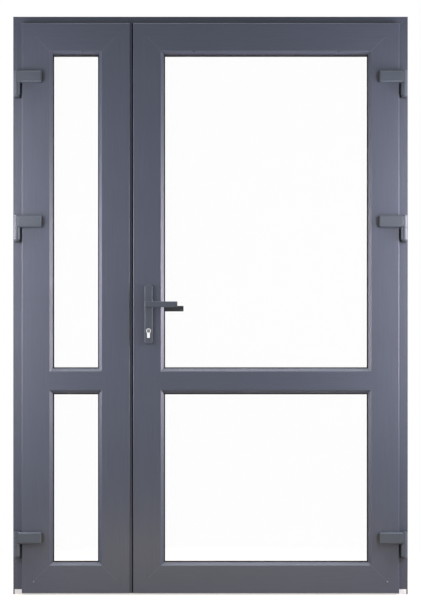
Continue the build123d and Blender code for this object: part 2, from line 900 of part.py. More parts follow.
# Hinges: an arm on the leaf, a barrel on the frame below it, a packer and a pin
barrel_y = frame_front - packer_thickness
for side_name, side in (("left", -1), ("right", 1)):
    leaf = "passive" if side_name == "left" else "active"
    axis_x = side * (right_edge - hinge_axis_inset)
    for place, height in hinge_heights.items():
        arm_low = height - arm_height / 2
        with BuildPart() as hinge_arm:
            with BuildSketch(front_plane(sash_front)) as base_face:
                with Locations((axis_x - side * arm_reach / 2, height)):
                    Rectangle(arm_reach, arm_height)
                inner_end = base_face.vertices().group_by(Axis.X)[0 if side > 0 else -1]
                fillet(inner_end, radius=arm_end_round)
            extrude(amount=arm_base)
            with BuildSketch(front_plane(sash_front)) as cover_face:
                with Locations((axis_x - side * arm_cover_reach / 2, height)):
                    Rectangle(arm_cover_reach, arm_height - 2 * arm_cover_inset)
                inner_end = cover_face.vertices().group_by(Axis.X)[0 if side > 0 else -1]
                fillet(inner_end, radius=arm_cover_round)
            extrude(amount=sash_front - arm_front)
            fillet(hinge_arm.faces().sort_by(Axis.Y)[0].edges(), radius=arm_edge_round)
            with Locations((axis_x, hinge_y, height)):
                Cylinder(knuckle_radius, arm_height)
            with Locations((axis_x - side * arm_seam_place, arm_front, height)):
                Box(arm_seam, 2 * arm_seam, arm_height, mode=Mode.SUBTRACT)
            with Locations((axis_x, hinge_y, height - pin_cap)):
                Cylinder(pin_radius + pin_clearance, arm_height, mode=Mode.SUBTRACT)
        write(hinge_arm.part, f"{leaf}_{place}_hinge_arm")

        barrel_top = arm_low - hinge_slip
        with BuildPart() as hinge_barrel:
            with Locations((axis_x, hinge_y, barrel_top - barrel_height / 2)):
                Cylinder(knuckle_radius, barrel_height)
            chamfer(hinge_barrel.faces().sort_by(Axis.Z)[0].edges(), length=barrel_chamfer)
            half = barrel_width / 2
            low = barrel_top - barrel_height
            block(axis_x - half, axis_x + half, hinge_y, barrel_y, low, barrel_top)
            with Locations((axis_x, hinge_y, barrel_top - barrel_height / 2 + barrel_chamfer)):
                Cylinder(pin_radius + pin_clearance, barrel_height, mode=Mode.SUBTRACT)
        write(hinge_barrel.part, f"{side_name}_{place}_hinge_barrel")

with BuildPart() as hinge_packers:
    for side in (-1, 1):
        for height in hinge_heights.values():
            barrel_top = height - arm_height / 2 - hinge_slip
            block(
                side * (right_edge - hinge_axis_inset + barrel_width / 2),
                side * (right_edge - side_strip + packer_edge),
                barrel_y,
                frame_front,
                barrel_top - barrel_height - packer_drop,
                barrel_top,
            )
write(hinge_packers.part, "hinge_packers")

with BuildPart() as hinge_pins:
    for side in (-1, 1):
        for height in hinge_heights.values():
            arm_low = height - arm_height / 2
            pin_low = arm_low - hinge_slip - barrel_height + barrel_chamfer
            pin_high = arm_low + arm_height - pin_cap - hinge_slip
            with Locations((side * (right_edge - hinge_axis_inset), hinge_y, (pin_low + pin_high) / 2)):
                Cylinder(pin_radius, pin_high - pin_low)
write(hinge_pins.part, "hinge_pins")

# Back plates and levers, one set on each side of the active leaf
for place, face, way in (("inner", sash_front, -1), ("outer", sash_rear, 1)):
    plate_front = face + way * plate_thickness
    plate_z = spindle_height + (plate_above - plate_below) / 2
    with BuildPart() as back_plate:
        with BuildSketch(front_plane(max(face, plate_front))):
            with Locations((spindle_x, plate_z)):
                RectangleRounded(plate_width, plate_above + plate_below, plate_corner)
        extrude(amount=plate_thickness)
        outside = back_plate.faces().sort_by(Axis.Y)[0 if way < 0 else -1]
        fillet(outside.edges(), radius=plate_edge)
        with Locations(Plane((spindle_x, face, spindle_height), z_dir=(0, 1, 0))):
            Cylinder(neck_radius + turning_clearance, 2 * plate_thickness + overrun, mode=Mode.SUBTRACT)
        cylinder_cutout(
            plate_clearance, min(face, plate_front) - overrun, max(face, plate_front) + overrun
        )
    write(back_plate.part, f"{place}_back_plate")

    reach = lever_reach if place == "inner" else lever_reach + outer_lever_extra
    drop = 0 if place == "inner" else outer_lever_drop
    grip_near = plate_front + way * lever_standoff
    grip_far = grip_near + way * lever_thickness
    neck_start = face + way * neck_seat
    with BuildPart() as lever:
        with BuildSketch(front_plane(max(grip_near, grip_far))):
            with Locations((spindle_x + (reach - lever_heel) / 2, spindle_height - drop)):
                RectangleRounded(reach + lever_heel, lever_height, lever_corner)
        extrude(amount=lever_thickness)
        fillet(lever.edges().filter_by(Axis.Y, reverse=True), radius=lever_round)
        neck_end = (grip_near + grip_far) / 2
        neck_middle = (neck_start + neck_end) / 2
        with Locations(Plane((spindle_x, neck_middle, spindle_height), z_dir=(0, 1, 0))):
            Cylinder(neck_radius, abs(neck_end - neck_start))
        socket_end = neck_start + way * spindle_insert
        side = spindle_side / 2 + socket_clearance
        block(
            spindle_x - side,
            spindle_x + side,
            neck_start - way * overrun,
            socket_end + way * socket_clearance,
            spindle_height - side,
            spindle_height + side,
            mode=Mode.SUBTRACT,
        )
    write(lever.part, f"{place}_lever")

with BuildPart() as spindle:
    half = spindle_side / 2
    block(
        spindle_x - half,
        spindle_x + half,
        sash_front - neck_seat - spindle_insert,
        sash_rear + neck_seat + spindle_insert,
        spindle_height - half,
        spindle_height + half,
    )
write(spindle.part, "spindle")

with BuildPart() as follower:
    with Locations(Plane((spindle_x, lock_plane, spindle_height), z_dir=(0, 1, 0))):
        Cylinder(follower_radius, bolt_thickness)
    side = spindle_side / 2 + socket_clearance
    block(
        spindle_x - side,
        spindle_x + side,
        lock_plane - case_thickness,
        lock_plane + case_thickness,
        spindle_height - side,
        spindle_height + side,
        mode=Mode.SUBTRACT,
    )
write(follower.part, "follower")

# Lock case, faceplate, latch and deadbolt
half_case = case_thickness / 2
with BuildPart() as lock_case:
    case_x1 = active_edge + case_back
    block(lock_x, case_x1, lock_plane - half_case, lock_plane + half_case, case_bottom, case_top)
    block(
        lock_x - overrun,
        case_x1 - case_wall,
        lock_plane - half_case + case_wall,
        lock_plane + half_case - case_wall,
        case_bottom + case_wall,
        case_top - case_wall,
        mode=Mode.SUBTRACT,
    )
    spindle_hole(lock_plane - case_thickness, lock_plane + case_thickness)
    cylinder_cutout(cutout_clearance, lock_plane - case_thickness, lock_plane + case_thickness)
write(lock_case.part, "lock_case")

with BuildPart() as lock_faceplate:
    half = faceplate_width / 2
    low = case_bottom - faceplate_overlap
    high = case_top + faceplate_overlap
    block(active_edge, lock_x, lock_plane - half, lock_plane + half, low, high)
    bolt_window(active_edge, lock_x, latch_z, latch_height)
    bolt_window(active_edge, lock_x, bolt_z, bolt_height)
write(lock_faceplate.part, "lock_faceplate")

# The latch's nose slopes on the side that meets the strike as the leaf closes
half_bolt = bolt_thickness / 2
with BuildPart() as latch:
    with BuildSketch(Plane.XY.offset(latch_z - latch_height / 2)):
        with BuildLine():
            Polyline(
                (active_edge + latch_tail, lock_plane - half_bolt),
                (active_edge + latch_tail, lock_plane + half_bolt),
                (active_edge, lock_plane + half_bolt),
                (active_edge - latch_throw, lock_plane - half_bolt / 2),
                (active_edge - latch_throw, lock_plane - half_bolt),
                close=True,
            )
        make_face()
    extrude(amount=latch_height)
write(latch.part, "latch")

with BuildPart() as deadbolt:
    block(
        active_edge,
        active_edge + bolt_throw + bolt_grip,
        lock_plane - half_bolt,
        lock_plane + half_bolt,
        bolt_z - bolt_height / 2,
        bolt_z + bolt_height / 2,
    )
write(deadbolt.part, "deadbolt")

# Profile cylinder with a slot for the cam, and the plug that carries the cam
cylinder_y0 = sash_front - plate_thickness - cylinder_proud
cylinder_y1 = sash_rear + plate_thickness + cylinder_proud
with BuildPart() as cylinder_body:
    with BuildSketch(front_plane(cylinder_y1)):
        with Locations((spindle_x, cylinder_height)):
            Circle(barrel_radius)
        with Locations((spindle_x, cylinder_height - foot_drop / 2 - foot_width / 4)):
            Rectangle(foot_width, foot_drop - foot_width / 2)
        with Locations((spindle_x, cylinder_height - foot_drop + foot_width / 2)):
            Circle(foot_width / 2)
    extrude(amount=cylinder_y1 - cylinder_y0)
    with BuildSketch(front_plane(cylinder_y1 + overrun)):
        with Locations((spindle_x, cylinder_height)):
            Circle(plug_radius + plug_clearance)
    extrude(amount=cylinder_y1 - cylinder_y0 + 2 * overrun, mode=Mode.SUBTRACT)
    block(
        spindle_x - barrel_radius - overrun,
        spindle_x + barrel_radius + overrun,
        lock_plane - cam_slot / 2,
        lock_plane + cam_slot / 2,
        cylinder_height - cam_reach - cam_clearance,
        cylinder_height + barrel_radius + overrun,
        mode=Mode.SUBTRACT,
    )
write(cylinder_body.part, "cylinder_body")

with BuildPart() as cylinder_plug:
    with BuildSketch(front_plane(cylinder_y1)):
        with Locations((spindle_x, cylinder_height)):
            Circle(plug_radius)
    extrude(amount=cylinder_y1 - cylinder_y0)
    with BuildSketch(front_plane(lock_plane + cam_width / 2)):
        with Locations((spindle_x, cylinder_height)):
            Circle(cam_hub_radius)
        with Locations((spindle_x, cylinder_height - cam_reach / 2 + cam_nose_width / 4)):
            SlotOverall(cam_reach + cam_nose_width / 2, cam_nose_width, rotation=90)
    extrude(amount=cam_width)
    for end, way in ((cylinder_y0, 1), (cylinder_y1, -1)):
        block(
            spindle_x - keyway_length / 2,
            spindle_x + keyway_length / 2,
            end - way * overrun,
            end + way * keyway_depth,
            cylinder_height - keyway_width / 2,
            cylinder_height + keyway_width / 2,
            mode=Mode.SUBTRACT,
        )
write(cylinder_plug.part, "cylinder_plug")
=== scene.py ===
import math
from typing import NamedTuple

import bmesh
import bpy
from bpy.props import FloatProperty, FloatVectorProperty, IntProperty, PointerProperty
from bpy.types import Operator, Panel, PropertyGroup
from mathutils import Matrix, Vector


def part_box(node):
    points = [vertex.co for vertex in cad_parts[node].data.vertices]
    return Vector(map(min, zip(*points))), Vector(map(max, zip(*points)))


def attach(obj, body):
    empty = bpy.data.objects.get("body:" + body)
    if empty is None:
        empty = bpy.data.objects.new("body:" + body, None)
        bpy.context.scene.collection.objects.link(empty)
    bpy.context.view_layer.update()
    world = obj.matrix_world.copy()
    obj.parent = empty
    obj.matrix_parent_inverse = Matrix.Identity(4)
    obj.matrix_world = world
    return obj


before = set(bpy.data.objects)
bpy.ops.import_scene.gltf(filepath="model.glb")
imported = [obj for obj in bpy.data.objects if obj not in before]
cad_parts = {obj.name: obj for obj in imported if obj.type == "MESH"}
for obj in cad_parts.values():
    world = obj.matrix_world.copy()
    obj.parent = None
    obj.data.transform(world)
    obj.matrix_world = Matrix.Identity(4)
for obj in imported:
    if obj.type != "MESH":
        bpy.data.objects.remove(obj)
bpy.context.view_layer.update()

bl_info = {
    "name": "Glazed entrance door",
    "version": (1, 0, 0),
    "blender": (4, 5, 0),
    "location": "3D View > Sidebar > Door",
    "description": "Finishes, screws and studio for a leaf-and-a-half glazed entrance door",
    "category": "Object",
}

MM = 0.001
WHITE = (1.0, 1.0, 1.0)
LEAF_SIDES = {"passive": -1, "active": 1}
HINGE_LEVELS = ("top", "middle", "bottom")
FRAME_FACE = -35 * MM

# Foil: the way of its grain, how far the grain is drawn out, and the depths a weld line crosses
VERTICAL = "vertical"
LENGTHWISE = "lengthwise"
GRAIN_STRETCH = 0.035
FRAME_WELD = (8 * MM, 32 * MM)
LEAF_WELD = (50 * MM, 109 * MM)

# Plastics and metals, and the noise factors that draw a metal's fine lines along one axis
PACKER_BLACK = (0.006, 0.006, 0.007)
HINGE_BASE_BLACK = (0.008, 0.008, 0.009)
# Share that darkens the outer lever's coat: painted shade for the door's shadow over it
OUTER_LEVER_PAINTED_SHADE = 0.22
ALUMINIUM = (0.55, 0.56, 0.57)
PIN_STEEL = (0.55, 0.55, 0.56)
PLATED_STEEL = (0.52, 0.52, 0.53)
# Plug steel darkened: painted shade of the keyway and the gap around the plug
PLUG_STEEL_KEYWAY_SHADE = (0.2, 0.2, 0.2)
SCREW_STEEL = (0.2, 0.2, 0.21)
ROLLED_ACROSS = (18.0, 700.0, 700.0)
TURNED_THROUGH = (700.0, 60.0, 700.0)
DRAWN_UP = (600.0, 600.0, 30.0)
ROLLED_UP = (500.0, 500.0, 25.0)
EVEN_GRAIN = (400.0, 400.0, 400.0)

# Screws and caps: their forms, and how far they sit from the edges of what they hold
SKIRT = 1.5 * MM
SCREW_RINGS = 10
SCREW_RECESS = 0.08 * MM
CAP_RINGS = 12
CAP_SOCKET = 0.1 * MM
CAP_RISE = 0.9 * MM
HINGE_BASE_END = 6.7 * MM
FACEPLATE_INSET = 9 * MM
CYLINDER_DROP = 8 * MM
STRIKE_INSET = 7 * MM
ASTRAGAL_THICKNESS = 3 * MM
ASTRAGAL_INSET = 8 * MM
ASTRAGAL_SHARES = (0.04, 0.27, 0.38, 0.62, 0.73, 0.96)
KEEP_INSET = 4.5 * MM
KEEP_THICKNESS = 3 * MM
THRESHOLD_SHARES = (0.08, 0.36, 0.64, 0.92)
THRESHOLD_DEPTH = 0.62
FOOT_SCREW_ACROSS = 42 * MM
FOOT_SCREW_UP = 41 * MM

# Studio: the floor is white far off and keeps the shadow near the door
BACKGROUND_RAYS = ("Is Camera Ray", "Is Glossy Ray", "Is Transmission Ray")
SENSOR_WIDTH = 36.0
SKY = (0.92, 0.96, 1.06)
SKY_STRENGTH = 0.2
FLOOR = (0.40, 0.35, 0.29)
FLOOR_LIFT = (0.98, 1.0, 1.0)
FLOOR_LIFT_STRENGTH = 0.74
FLOOR_FADE_START = 0.9
FLOOR_FADE_LENGTH = 1.1
FLOOR_RADIUS = 14.0
FLOOR_DROP = 0.5 * MM
SIDE_WARMTH = (1.06, 0.95, 0.92)
STRIP_TINT = (1.0, 0.92, 1.05)
LOW_GLOW = (1.0, 0.76, 0.45)


class Lamp(NamedTuple):
    """An area lamp: its place, target, size, the setting and share of its power, and its colour."""

    name: str
    place: tuple
    target: tuple
    size: tuple
    power: str
    share: float = 1.0
    colour: tuple = WHITE


LAMPS = (
    Lamp(
        "left_softbox",
        place=(-1.08, -0.62, 1.2),
        target=(-0.55, -0.05, 1.1),
        size=(0.3, 1.3),
        power="side_power",
        colour=SIDE_WARMTH,
    ),
    Lamp(
        "right_softbox",
        place=(1.08, -0.62, 1.2),
        target=(0.55, -0.05, 1.1),
        size=(0.3, 1.3),
        power="side_power",
        colour=SIDE_WARMTH,
    ),
    Lamp(
        "left_strip",
        place=(-1.9, -0.34, 1.15),
        target=(0.0, -0.1, 1.1),
        size=(0.25, 0.9),
        power="strip_power",
        share=0.6,
        colour=STRIP_TINT,
    ),
    Lamp(
        "right_strip",
        place=(1.9, -0.34, 1.15),
        target=(0.0, -0.1, 1.1),
        size=(0.25, 0.9),
        power="strip_power",
        colour=STRIP_TINT,
    ),
    Lamp("top_strip", (0.0, -0.6, 6.0), (0.0, -0.1, 1.0), (2.0, 0.6), "top_power"),
    Lamp("front_softbox", (0.0, -3.6, 0.8), (0.0, 0.0, 0.8), (2.4, 1.2), "front_power"),
    Lamp(
        "low_softbox",
        place=(0.0, -0.55, 0.12),
        target=(0.0, 0.0, 0.08),
        size=(1.3, 0.1),
        power="low_power",
        colour=LOW_GLOW,
    ),
    Lamp("rear_softbox", (0.0, 3.4, 1.9), (0.0, 0.0, 1.0), (2.4, 1.6), "rear_power"),
)


# Properties that a user would change
class DoorFinishes(PropertyGroup):
    """Colours and surface sizes of the door's finishes."""

    foil: FloatVectorProperty(
        name="Foil",
        description="Colour of the embossed foil on the profiles",
        subtype="COLOR",
        size=3,
        min=0,
        max=1,
        default=(0.0465, 0.057, 0.083),
    )
    powder_coat: FloatVectorProperty(
        name="Powder coat",
        description="Colour of the hinges, levers and back plates",
        subtype="COLOR",
        size=3,
        min=0,
        max=1,
        default=(0.033, 0.045, 0.062),
    )
    seal: FloatVectorProperty(
        name="Seal",
        description="Colour of the rubber seals",
        subtype="COLOR",
        size=3,
        min=0,
        max=1,
        default=(0.007, 0.0065, 0.010),
    )
    nickel: FloatVectorProperty(
        name="Nickel",
        description="Colour of the plated cylinder",
        subtype="COLOR",
        size=3,
        min=0,
        max=1,
        default=(0.72, 0.73, 0.75),
    )
    end_block: FloatVectorProperty(
        name="End block",
        description="Colour of the plastic blocks at the threshold's ends",
        subtype="COLOR",
        size=3,
        min=0,
        max=1,
        default=(0.78, 0.84, 0.86),
    )
    grain_pitch: FloatProperty(
        name="Grain pitch",
        description="Distance between the ridges of the foil's embossed grain",
        subtype="DISTANCE",
        unit="LENGTH",
        default=1.4 * MM,
    )
    weld_width: FloatProperty(
        name="Weld line",
        description="Width of the weld line across the mitred corners",
        subtype="DISTANCE",
        unit="LENGTH",
        default=1.6 * MM,
    )


class DoorFixings(PropertyGroup):
    """Sizes of the small screws and caps."""

    screw_radius: FloatProperty(
        name="Screw head",
        description="Radius of a countersunk screw head",
        subtype="DISTANCE",
        unit="LENGTH",
        default=3.6 * MM,
    )
    stop_radius: FloatProperty(
        name="Leaf screw",
        description="Radius of the small screw near the foot of each hinge stile",
        subtype="DISTANCE",
        unit="LENGTH",
        default=2.6 * MM,
    )
    cap_radius: FloatProperty(
        name="Hinge cap",
        description="Radius of the cap in the top of a hinge knuckle",
        subtype="DISTANCE",
        unit="LENGTH",
        default=8.5 * MM,
    )
    ring_steps: IntProperty(
        name="Steps round",
        description="Facets round a screw head or cap",
        default=32,
        min=12,
    )


class DoorStudio(PropertyGroup):
    """Camera and light of the studio."""

    lens: FloatProperty(name="Lens", description="Focal length in millimetres", default=154.2)
    distance: FloatProperty(
        name="Distance",
        description="Camera distance in front of the frame's face",
        subtype="DISTANCE",
        unit="LENGTH",
        default=6.4,
    )
    eye_height: FloatProperty(
        name="Eye height",
        description="Height of the camera above the floor",
        subtype="DISTANCE",
        unit="LENGTH",
        default=0.7,
    )
    lens_shift: FloatProperty(
        name="Lens shift",
        description="How far the picture is shifted upwards, as a share of its width",
        default=0.2189,
    )
    side_power: FloatProperty(
        name="Side light",
        description="Power of each side softbox",
        subtype="POWER",
        unit="POWER",
        default=13.0,
    )
    strip_power: FloatProperty(
        name="Strip light",
        description="Power of the right strip light, close to the door's plane",
        subtype="POWER",
        unit="POWER",
        default=50.0,
    )
    top_power: FloatProperty(
        name="Top light",
        description="Power of the strip light above the head",
        subtype="POWER",
        unit="POWER",
        default=130.0,
    )
    front_power: FloatProperty(
        name="Front light",
        description="Power of the soft light beside the camera",
        subtype="POWER",
        unit="POWER",
        default=4.5,
    )
    low_power: FloatProperty(
        name="Low light",
        description="Power of the warm light near the floor",
        subtype="POWER",
        unit="POWER",
        default=1.0,
    )
    rear_power: FloatProperty(
        name="Rear light",
        description="Power of the soft light behind the door",
        subtype="POWER",
        unit="POWER",
        default=45.0,
    )


# Shader maths as plain expressions
def pick(sockets, key):
    """One socket of a node: by place, by the name of an enabled one, or the first enabled one."""
    if isinstance(key, int):
        return sockets[key]
    for socket in sockets:
        if socket.enabled and key in (None, socket.name):
            return socket
    raise KeyError(key)


class Wire:
    """An output socket; sums and products with it add Math nodes."""

    def __init__(self, shade, socket):
        self.shade = shade
        self.socket = socket

    def math(self, operation, first, second=None):
        sockets = {0: first} if second is None else {0: first, 1: second}
        return self.shade.node("ShaderNodeMath", {"operation": operation}, sockets)

    def __add__(self, other):
        return self.math("ADD", self, other)

    __radd__ = __add__

    def __mul__(self, other):
        return self.math("MULTIPLY", self, other)

    __rmul__ = __mul__

    def __sub__(self, other):
        return self.math("SUBTRACT", self, other)

    def __rsub__(self, other):
        return self.math("SUBTRACT", other, self)

    def __truediv__(self, other):
        return self.math("DIVIDE", self, other)

    def __rtruediv__(self, other):
        return self.math("DIVIDE", other, self)

    def __abs__(self):
        return self.math("ABSOLUTE", self)

    def least(self, other):
        return self.math("MINIMUM", self, other)

    def most(self, other):
        return self.math("MAXIMUM", self, other)

    def below(self, other):
        return self.math("LESS_THAN", self, other)

    def swing(self, amount):
        """A noise's departure from its middle, times an amount."""
        return (self - 0.5) * amount


class Shade:
    """A material's or the world's node tree."""

    def __init__(self, owner):
        self.owner = owner
        owner.use_nodes = True
        self.tree = owner.node_tree
        self.tree.nodes.clear()

    def node(self, kind, settings=None, sockets=None, output=None):
        """Add one node, set it up, link its sockets and give back one output."""
        made = self.tree.nodes.new(kind)
        for key, value in (settings or {}).items():
            setattr(made, key, value)
        for key, value in (sockets or {}).items():
            socket = pick(made.inputs, key)
            if isinstance(value, Wire):
                self.tree.links.new(value.socket, socket)
            else:
                socket.default_value = value
        if not made.outputs:
            return None
        return Wire(self, pick(made.outputs, output))

    def place(self):
        """The point's place in the door's own frame, in metres."""
        return self.node("ShaderNodeTexCoord", output="Object")

    def axis(self, vector, name):
        """A vector's X, Y or Z."""
        return self.node("ShaderNodeSeparateXYZ", None, {"Vector": vector}, name)

    def noise(self, vector, scale, detail=2.0, roughness=0.5):
        sockets = {"Vector": vector, "Scale": scale, "Detail": detail, "Roughness": roughness}
        return self.node("ShaderNodeTexNoise", None, sockets, "Fac")

    def streaks(self, vector, factors, detail=2.0, roughness=0.5):
        """Noise with its own scale along each axis, drawn out where a factor is small."""
        sockets = {0: vector, 1: factors}
        stretched = self.node("ShaderNodeVectorMath", {"operation": "MULTIPLY"}, sockets)
        return self.noise(stretched, 1.0, detail, roughness)

    def cells(self, vector, output, **sockets):
        """Voronoi cells; the sockets are theirs."""
        sockets["Vector"] = vector
        return self.node("ShaderNodeTexVoronoi", {"feature": "F1"}, sockets, output)

    def tint(self, factor, first, second):
        """From the first colour, or an earlier tint, to the second."""
        under = first if isinstance(first, Wire) else (*first, 1)
        sockets = {"Factor": factor, "A": under, "B": (*second, 1)}
        return self.node("ShaderNodeMix", {"data_type": "RGBA"}, sockets, "Result")

    def bump(self, height, strength, depth):
        sockets = {"Height": height, "Strength": strength, "Distance": depth}
        return self.node("ShaderNodeBump", None, sockets)

    def light(self, kind, colour, strength):
        """An emission or a background of one colour."""
        return self.node(kind, None, {"Color": (*colour, 1), "Strength": strength})

    def blend(self, factor, first, second):
        """From the first shader to the second."""
        return self.node("ShaderNodeMixShader", None, {0: factor, 1: first, 2: second})

    def seen_directly(self):
        """One for rays that show the background and zero for light that falls on things."""
        seen = None
        for kind in BACKGROUND_RAYS:
            ray = self.node("ShaderNodeLightPath", output=kind)
            seen = ray if seen is None else seen.most(ray)
        return seen

    def surface(self, **sockets):
        """Close the material with one principled surface; underscores stand for spaces."""
        named = {key.replace("_", " "): value for key, value in sockets.items()}
        skin = self.node("ShaderNodeBsdfPrincipled", None, named, "BSDF")
        self.node("ShaderNodeOutputMaterial", None, {"Surface": skin})
        return self.owner


def new_shade(name):
    return Shade(bpy.data.materials.new(name))


def scaled(values, share):
    return tuple(value * share for value in values)


def dress(node, material):
    """Give a CAD node its one finish."""
    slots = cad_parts[node].data.materials
    slots.clear()
    slots.append(material)


def nodes_ending(*endings):
    return sorted(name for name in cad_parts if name.endswith(endings))


# Finishes
def weld_mask(shade, point, corners, span, width):
    """White along the 45-degree weld lines.

    A corner gives its x, its z and its two inward ways; span gives the depths that a line crosses.
    """
    point_x, point_z = shade.axis(point, "X"), shade.axis(point, "Z")
    nearest = None
    for x, z, inward_x, inward_z in corners:
        depth = (point_z - z) * inward_z
        line = abs((point_x - x) * inward_x - depth)
        line = line.most(depth - span[1]).most(span[0] - depth)
        nearest = line if nearest is None else nearest.least(line)
    return (1 - nearest / width).most(0)


def foil_finish(name, colour, grain, pitch, corners, span, weld):
    """Embossed foil: fine grain along the member, faint clouds and weld lines at the corners."""
    shade = new_shade(name)
    point = shade.place()
    ridges = 1 / pitch
    along = ridges * GRAIN_STRETCH
    factors = (ridges, ridges, along) if grain == VERTICAL else (along, ridges, ridges)
    fibres = shade.streaks(point, factors, detail=3.0, roughness=0.62)
    pores = shade.streaks(point, scaled(factors, 2.6), detail=1.0)
    dashes = shade.streaks(point, scaled(factors, 0.3), roughness=0.6)
    cloud = shade.noise(point, scale=5.0)
    drift = shade.noise(point, scale=38.0)
    tone = fibres.swing(0.5) + dashes.swing(0.7) + cloud.swing(0.35) + 0.5
    skin = shade.tint(tone, scaled(colour, 0.8), scaled(colour, 1.2))
    line = weld_mask(shade, point, corners, span, weld)
    skin = shade.tint(line * 0.5, skin, scaled(colour, 2.2))
    rough = 0.40 + pores.swing(0.12) + drift.swing(0.08)
    height = fibres + pores * 0.4 + dashes * 0.8 - line * 1.5
    normal = shade.bump(height, strength=0.6, depth=0.28 * MM)
    return shade.surface(Base_Color=skin, Roughness=rough, Normal=normal, Specular_IOR_Level=0.4)


def powder_finish(name, colour, bare_within=None):
    """Powder coat on metal: fine even grit with a satin sheen.

    Nearer the door's middle than bare_within, the piece is near black.
    """
    shade = new_shade(name)
    point = shade.place()
    grit = shade.noise(point, scale=1500.0, roughness=0.6)
    orange_peel = shade.noise(point, scale=260.0, detail=1.0)
    cloud = shade.noise(point, scale=22.0)
    skin = shade.tint(grit.swing(0.5) + cloud, scaled(colour, 0.84), scaled(colour, 1.18))
    if bare_within is not None:
        bare = abs(shade.axis(point, "X")).below(bare_within)
        skin = shade.tint(bare, skin, HINGE_BASE_BLACK)
    rough = 0.44 + grit.swing(0.14) + cloud.swing(0.06)
    normal = shade.bump(grit * 0.5 + orange_peel, strength=0.35, depth=0.15 * MM)
    return shade.surface(Base_Color=skin, Roughness=rough, Normal=normal, IOR=1.5)


def rubber_finish(name, colour):
    """Matt rubber with fine extrusion streaks and a trace of dust."""
    shade = new_shade(name)
    point = shade.place()
    streaks = shade.streaks(point, (40.0, 900.0, 40.0))
    dust = shade.noise(point, scale=130.0, detail=3.0, roughness=0.7)
    skin = shade.tint(dust * 0.7, colour, scaled(colour, 1.9))
    rough = 0.58 + streaks.swing(0.2)
    normal = shade.bump(streaks + dust * 0.3, strength=0.25, depth=0.1 * MM)
    return shade.surface(Base_Color=skin, Roughness=rough, Normal=normal, Specular_IOR_Level=0.25)


def metal_finish(name, colour, factors, roughness, contrast=0.18):
    """Bare or plated metal with fine lines along the axis of the smallest factor."""
    shade = new_shade(name)
    point = shade.place()
    lines = shade.streaks(point, factors, detail=3.0, roughness=0.6)
    stain = shade.noise(point, scale=30.0, detail=3.0, roughness=0.6)
    dark, bright = scaled(colour, 1 - contrast), scaled(colour, 1 + contrast)
    skin = shade.tint(lines.swing(0.6) + stain, dark, bright)
    rough = roughness + lines.swing(0.16) + stain.swing(0.1)
    normal = shade.bump(lines, strength=0.2, depth=0.06 * MM)
    return shade.surface(Base_Color=skin, Roughness=rough, Metallic=1.0, Normal=normal)


def zinc_finish(name):
    """Galvanised steel with the zinc's spangled crystals."""
    shade = new_shade(name)
    crystals = shade.cells(shade.place(), "Color", Scale=110.0)
    grey = shade.node("ShaderNodeRGBToBW", None, {"Color": crystals})
    skin = shade.tint(grey, (0.36, 0.37, 0.38), (0.6, 0.61, 0.62))
    return shade.surface(Base_Color=skin, Roughness=0.3 + grey * 0.25, Metallic=1.0)


def moulded_finish(name, colour, roughness):
    """Injection-moulded plastic with a fine spark-eroded texture."""
    shade = new_shade(name)
    point = shade.place()
    grit = shade.noise(point, scale=900.0, roughness=0.55)
    scuff = shade.streaks(point, (25.0, 90.0, 60.0), detail=4.0, roughness=0.7)
    skin = shade.tint(scuff.swing(0.8) + 0.5, scaled(colour, 0.9), scaled(colour, 1.08))
    rough = roughness + grit.swing(0.16)
    normal = shade.bump(grit, strength=0.3, depth=0.08 * MM)
    return shade.surface(Base_Color=skin, Roughness=rough, Normal=normal, IOR=1.49)


def glass_finish(name):
    """Clear float glass, seen mostly by its reflections and faintly green body."""
    shade = new_shade(name)
    film = shade.noise(shade.place(), scale=7.0, detail=3.0, roughness=0.6)
    skin = shade.tint(film, (0.24, 0.3, 0.29), (0.3, 0.36, 0.35))
    body = 0.007 + film.swing(0.004)
    return shade.surface(Base_Color=skin, Roughness=0.02 + film * 0.03, Alpha=body, IOR=1.52)


def spacer_finish(name):
    """Aluminium spacer bar with its rows of small breathing holes, painted dark as the shade inside
    them.
    """
    shade = new_shade(name)
    centres = shade.cells(shade.place(), "Distance", Scale=420.0, Randomness=0.15)
    # Painted shade: the holes are dark for the shade inside them
    hole_shade = (1 - centres * 3.2).most(0)
    skin = shade.tint(hole_shade, (0.5, 0.51, 0.53), (0.12, 0.12, 0.13))
    return shade.surface(Base_Color=skin, Roughness=0.34 + hole_shade * 0.3, Metallic=0.9)


# Mesh pieces
def round_head(mesh, turn, radius, steps, rings, height):
    """A round head, closed below, whose top follows a function of its own x and y."""

    def ring_of(r, level):
        loop = []
        for step in range(steps):
            angle = 2 * math.pi * step / steps
            x, y = r * math.cos(angle), r * math.sin(angle)
            loop.append(mesh.verts.new(turn @ Vector((x, y, level(x, y)))))
        return loop

    loops = [ring_of(radius * ring / rings, height) for ring in range(1, rings + 1)]
    centre = mesh.verts.new(turn @ Vector((0, 0, height(0, 0))))
    foot = ring_of(radius, lambda x, y: -SKIRT)
    for step in range(steps):
        after = (step + 1) % steps
        mesh.faces.new((centre, loops[0][step], loops[0][after]))
        for inner, outer in zip(loops, loops[1:] + [foot]):
            mesh.faces.new((inner[step], outer[step], outer[after], inner[after]))
    mesh.faces.new(foot)


def screw_height(radius):
    """A raised countersunk head with a cross recess."""
    arm = radius * 0.62
    half = radius * 0.17
    crown = radius * 0.3

    def height(x, y):
        in_cross = (abs(x) < half and abs(y) < arm) or (abs(y) < half and abs(x) < arm)
        dome = crown * (1 - (x * x + y * y) / (radius * radius))
        return SCREW_RECESS + (0 if in_cross else dome)

    return height


def cap_height(radius):
    """A shallow round cap with a rolled rim and a hexagonal socket."""
    socket = radius * 0.34
    rim = radius * 0.18

    def height(x, y):
        r = math.hypot(x, y)
        angle = math.atan2(y, x) % (math.pi / 3) - math.pi / 6
        if r * math.cos(angle) < socket:
            return CAP_SOCKET
        return CAP_SOCKET + CAP_RISE * min(1, (radius - r) / rim)

    return height


